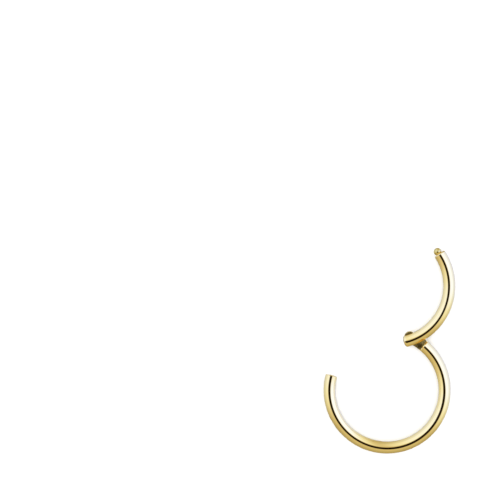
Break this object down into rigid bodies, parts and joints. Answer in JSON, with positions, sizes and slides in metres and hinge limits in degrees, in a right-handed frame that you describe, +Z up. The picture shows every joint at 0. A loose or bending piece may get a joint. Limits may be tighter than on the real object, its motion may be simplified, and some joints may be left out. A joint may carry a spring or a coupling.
{
  "type": "nose ring",
  "caption": "Round wire nose hoop with a hinged segment that swings open in the hoop's plane and snaps shut on a ball catch; mirror-polished yellow gold finish",
  "frame": {"origin": "centre of the hoop's circle, in the middle plane of the wire; the ring lies on its side, so its lowest line is half a wire below", "axes": "+Z up, square to the hoop's plane and along the hinge pin; +Y towards the segment's swung-open end; +X to the hinge side"},
  "size_m": [0.0108, 0.0169, 0.001],
  "materials": {
    "polished_gold": "mirror-polished yellow gold plating",
    "pin_steel": "plain drawn steel"
  },
  "bodies": {
    "hoop_body": {"hoop": "polished_gold"},
    "segment_body": {"hinged_segment": "polished_gold", "hinge_pin": "pin_steel"}
  },
  "joints": [
    {"name": "segment_hinge", "type": "hinge", "parent": "hoop_body", "child": "segment_body", "pos_m": [0.00216, 0.00423, 0], "axis": [0, 0, 1], "range_deg": [-9, 130.9]}
  ]
}
